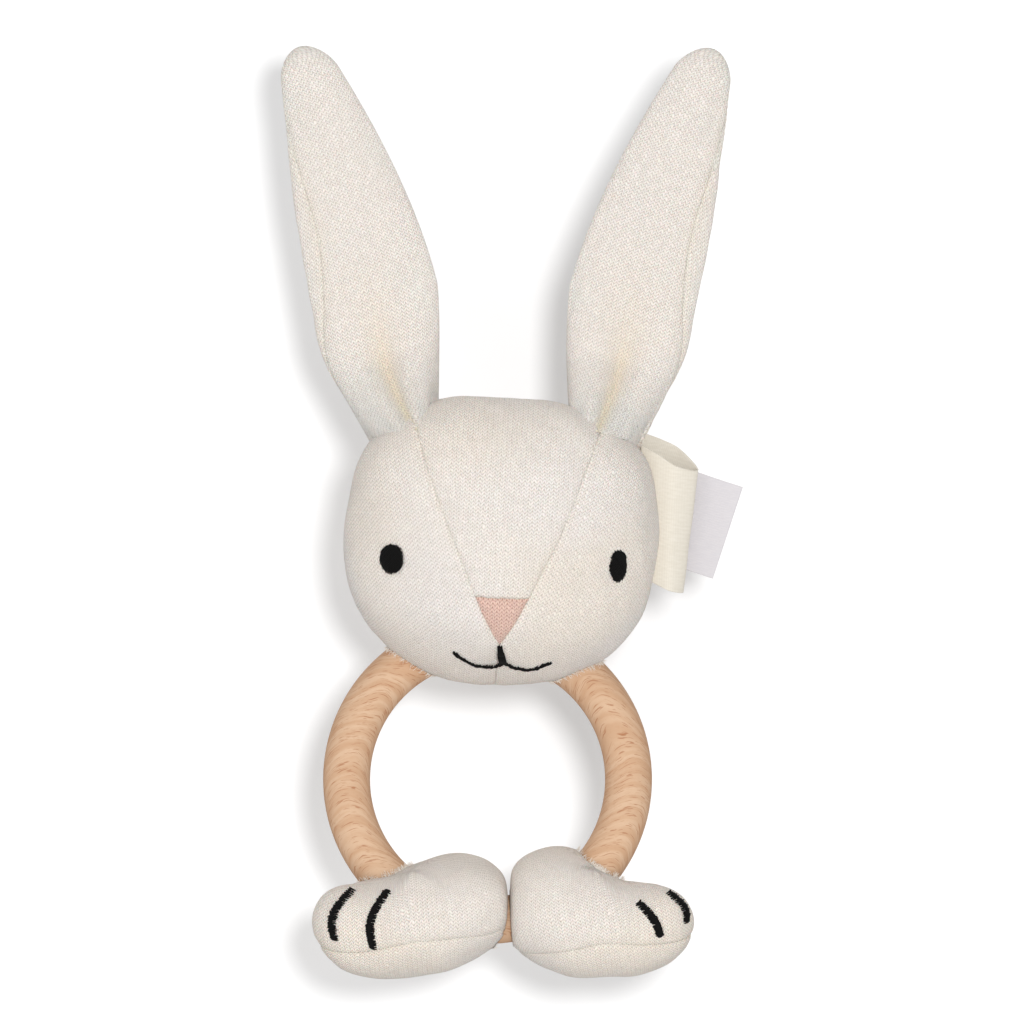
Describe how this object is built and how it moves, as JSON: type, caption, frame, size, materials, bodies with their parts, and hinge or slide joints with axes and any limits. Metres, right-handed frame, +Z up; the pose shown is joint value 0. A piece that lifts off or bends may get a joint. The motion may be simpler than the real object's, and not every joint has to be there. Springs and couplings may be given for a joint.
{
  "type": "teething ring",
  "caption": "Stuffed knitted rabbit head with long floppy ears and knitted feet, threaded on a plain turned wooden teething ring, with a rattle sewn inside the head.",
  "frame": {"origin": "centre of the wooden ring", "axes": "+Z up through the ears, +X to the right as the face is looked at, -Y the way the face looks; the ring lies in the XZ plane"},
  "size_m": [0.0988, 0.0531, 0.1984],
  "materials": {
    "beech_wood": "sanded smooth, unvarnished beech",
    "knit_cream": "fine stocking-stitch cotton jersey, matt",
    "knit_pink": "fine stocking-stitch cotton jersey, matt",
    "stuffing_fibre": "loose polyester fill",
    "black_thread": "satin-stitched embroidery thread",
    "label_cotton": "woven cotton tape, blank",
    "label_satin": "satin ribbon, blank",
    "rattle_plastic": "moulded",
    "rattle_pellet": "smooth beads"
  },
  "bodies": {
    "ring": {"wooden_ring": "beech_wood"},
    "neck": {"neck_sleeve": "knit_cream"},
    "head": {"forehead_panel": "knit_cream", "nose_panel": "knit_pink", "left_cheek_panel": "knit_cream", "right_cheek_panel": "knit_cream", "back_left_panel": "knit_cream", "back_right_panel": "knit_cream", "head_stuffing": "stuffing_fibre", "left_eye_embroidery": "black_thread", "right_eye_embroidery": "black_thread", "mouth_embroidery": "black_thread", "rattle_capsule_front": "rattle_plastic", "rattle_capsule_back": "rattle_plastic", "left_ear_root": "knit_cream", "right_ear_root": "knit_cream"},
    "pellets": {"rattle_pellets": "rattle_pellet"},
    "left_ear": {"left_ear_front": "knit_cream", "left_ear_back": "knit_cream", "left_ear_padding": "stuffing_fibre"},
    "right_ear": {"right_ear_front": "knit_cream", "right_ear_back": "knit_cream", "right_ear_padding": "stuffing_fibre"},
    "cotton_label": {"cotton_label": "label_cotton"},
    "satin_label": {"satin_label": "label_satin"},
    "left_ankle": {"left_foot_sleeve": "knit_cream"},
    "left_foot": {"left_foot_upper": "knit_cream", "left_foot_sole": "knit_cream", "left_foot_stuffing": "stuffing_fibre", "left_toe_embroidery": "black_thread"},
    "right_ankle": {"right_foot_sleeve": "knit_cream"},
    "right_foot": {"right_foot_upper": "knit_cream", "right_foot_sole": "knit_cream", "right_foot_stuffing": "stuffing_fibre", "right_toe_embroidery": "black_thread"}
  },
  "joints": [
    {"name": "head_slide", "type": "hinge", "parent": "ring", "child": "neck", "pos_m": [0, 0, 0], "axis": [0, 1, 0], "range_deg": [-25, 25]},
    {"name": "head_nod", "type": "hinge", "parent": "neck", "child": "head", "pos_m": [0.00173, 0, 0.02995], "axis": [0.9983, 0, -0.0576], "range_deg": [-8, 8]},
    {"name": "left_ear_flop", "type": "hinge", "parent": "head", "child": "left_ear", "pos_m": [-0.01856, 0, 0.07766], "axis": [0.8599, 0, 0.5105], "range_deg": [-25, 25]},
    {"name": "right_ear_flop", "type": "hinge", "parent": "head", "child": "right_ear", "pos_m": [0.02476, 0, 0.07665], "axis": [0.8721, 0, -0.4894], "range_deg": [-25, 25]},
    {"name": "pellet_shake", "type": "slide", "parent": "head", "child": "pellets", "axis": [0.0576, 0, 0.9983], "range_m": [0, 0.012]},
    {"name": "cotton_label_flap", "type": "hinge", "parent": "head", "child": "cotton_label", "pos_m": [0.0372, -0.0018, 0.0534], "axis": [0.1549, -0.1392, 0.9781], "range_deg": [-16, 0]},
    {"name": "satin_label_flap", "type": "hinge", "parent": "head", "child": "satin_label", "pos_m": [0.0372, 0.00308, 0.0574], "axis": [0, 0, 1], "range_deg": [0, 50]},
    {"name": "left_foot_slide", "type": "hinge", "parent": "ring", "child": "left_ankle", "pos_m": [0, 0, 0], "axis": [0, 1, 0], "range_deg": [0, 35]},
    {"name": "left_foot_twist", "type": "hinge", "parent": "left_ankle", "child": "left_foot", "pos_m": [-0.01026, 0, -0.02819], "axis": [0.9397, 0, -0.342], "range_deg": [-15, 15]},
    {"name": "right_foot_slide", "type": "hinge", "parent": "ring", "child": "right_ankle", "pos_m": [0, 0, 0], "axis": [0, 1, 0], "range_deg": [-35, 0]},
    {"name": "right_foot_twist", "type": "hinge", "parent": "right_ankle", "child": "right_foot", "pos_m": [0.01545, 0, -0.02571], "axis": [0.8572, 0, 0.515], "range_deg": [-15, 15]}
  ]
}
